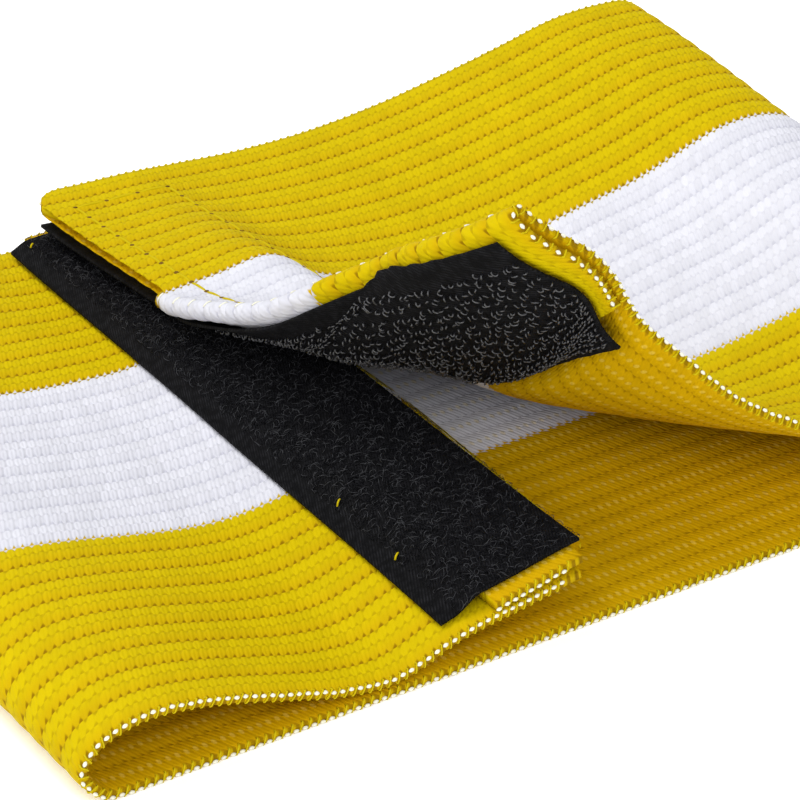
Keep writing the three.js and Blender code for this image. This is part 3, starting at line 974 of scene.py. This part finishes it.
fuzz_along, fuzz_across, fuzz_height = curls(
    FUZZ_STRANDS,
    61,
    np.array(FUZZ_FROM),
    np.array(FUZZ_TO),
    FUZZ_LONG,
    FUZZ_BEND,
    FUZZ_HEIGHT,
)
fuzz_share = np.clip(fuzz_across / BAND_WIDTH, FUZZ_EDGE, 1 - FUZZ_EDGE)
fuzz_lift = WEB_THICKNESS / 2 + HEM_STEP + hem_gape(np.clip(fuzz_along, 0, None), fuzz_share)
fuzz_paths = beside_web(
    np.clip(fuzz_along, 0, None),
    fuzz_share,
    np.minimum(fuzz_along, 0) * FUZZ_SPREAD,
    fuzz_lift + fuzz_height - FUZZ_ROOT,
)
fuzz = tubes("fold_fuzz", fuzz_paths, FUZZ_RADIUS, CURL_SIDES, [yellow_thread], 62)
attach(fuzz, "root")

# Lint
# Three yellow fibres, pulled out of the webbing, are caught in the loop pile near its inner border.
# Each is placed from the end and from the near edge, and lies bowed over the pile.
LINT = np.array([(11.5, 20.5), (11.8, 10.9), (11.6, 77.0)])
LINT_HALF = 0.28
LINT_SLANT = 0.6
LINT_BOW = 2.0
LINT_RADIUS = 0.09

lint_run = np.linspace(-LINT_HALF, LINT_HALF, 4)
lint_paths = tape_point(
    True,
    LINT[:, :1] + lint_run,
    (LINT[:, 1:] + lint_run[::-1] * LINT_SLANT) / BAND_WIDTH,
    TAPE_BASE + PILE_HEIGHT - LINT_BOW * lint_run**2,
)
lint = tubes("lint", lint_paths, LINT_RADIUS, THREAD_SIDES, [yellow_thread], 71)
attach(lint, "root")

# Glints on the upper fold
# Where the web turns round the fold of the upper end, the ribs open. The white covered rubber warp
# then shows as a short bright line in each groove between two ribs.
GLINT_RADIUS = 0.085
GLINT_ANGLES = np.radians(np.linspace(15, 75, 5))

fold_radius = (HEM_STEP + WEB_THICKNESS) / 2 - RIB_RELIEF / 2
groove_shares = (np.arange(1, RIBS) / RIBS)[:, None]
glint_paths = beside_web(
    STRIP_LENGTH,
    groove_shares,
    fold_radius * np.cos(GLINT_ANGLES),
    fold_radius * np.sin(GLINT_ANGLES) - HEM_STEP / 2,
)
glints = tubes("fold_glints", glint_paths, GLINT_RADIUS, THREAD_SIDES, [white_core], 72)
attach(glints, "root")

# Camera, floor and light
# The camera looks down on the near left corner. The band lies on a plain white table, in the soft
# light of a bright room, with one large lamp above and two weaker ones at the left and in front.
CAMERA_TARGET = Vector((-0.00056, -0.00081, 0.0))
CAMERA_SIDE = Vector((-0.4702, -0.7240, 0.5047))
CAMERA_DISTANCE = 0.36
CAMERA_LENS = 179.96
FILM_WIDTH = 36.0
TABLE_HALF = 2000.0
TABLE_GLOW = 0.25
ROOM_LIGHT = 0.62

camera = bpy.data.objects.new("camera", bpy.data.cameras.new("camera"))
bpy.context.scene.collection.objects.link(camera)
camera.data.sensor_width = FILM_WIDTH
camera.data.lens = CAMERA_LENS
camera.data.clip_start = 0.01
camera.location = CAMERA_TARGET + CAMERA_SIDE.normalized() * CAMERA_DISTANCE
camera.rotation_mode = "QUATERNION"
camera.rotation_quaternion = (-CAMERA_SIDE).to_track_quat("-Z", "Y")
bpy.context.scene.camera = camera

floor_material = bpy.data.materials.new("white table")
floor_material.use_nodes = True
floor_shader = floor_material.node_tree.nodes["Principled BSDF"]
floor_shader.inputs["Base Color"].default_value = (0.95, 0.95, 0.95, 1)
floor_shader.inputs["Roughness"].default_value = 0.9
floor_shader.inputs["Emission Color"].default_value = (1, 1, 1, 1)
floor_shader.inputs["Emission Strength"].default_value = TABLE_GLOW
floor = new_mesh(
    "table",
    np.array([(-1, -1, 0), (1, -1, 0), (1, 1, 0), (-1, 1, 0)]) * TABLE_HALF,
    [(0, 1, 2, 3)],
    [floor_material],
)


def area_light(name, place, size, power):
    """A soft square lamp that looks at the band."""
    lamp = bpy.data.lights.new(name, "AREA")
    lamp.size = size
    lamp.energy = power
    holder = bpy.data.objects.new(name, lamp)
    bpy.context.scene.collection.objects.link(holder)
    holder.location = place
    holder.rotation_mode = "QUATERNION"
    holder.rotation_quaternion = Vector(place).to_track_quat("Z", "Y")


area_light("soft key", (-0.2, 0.35, 0.8), 0.5, 4.6)
area_light("left fill", (-0.65, -0.2, 0.4), 0.4, 1.6)
area_light("front fill", (-0.15, -0.65, 0.5), 0.45, 3.0)
world = bpy.data.worlds.new("soft room")
world.use_nodes = True
room = world.node_tree.nodes["Background"]
room.inputs["Color"].default_value = (0.97, 0.98, 1.0, 1)
room.inputs["Strength"].default_value = ROOM_LIGHT
bpy.context.scene.world = world
bpy.context.scene.view_settings.view_transform = "Standard"
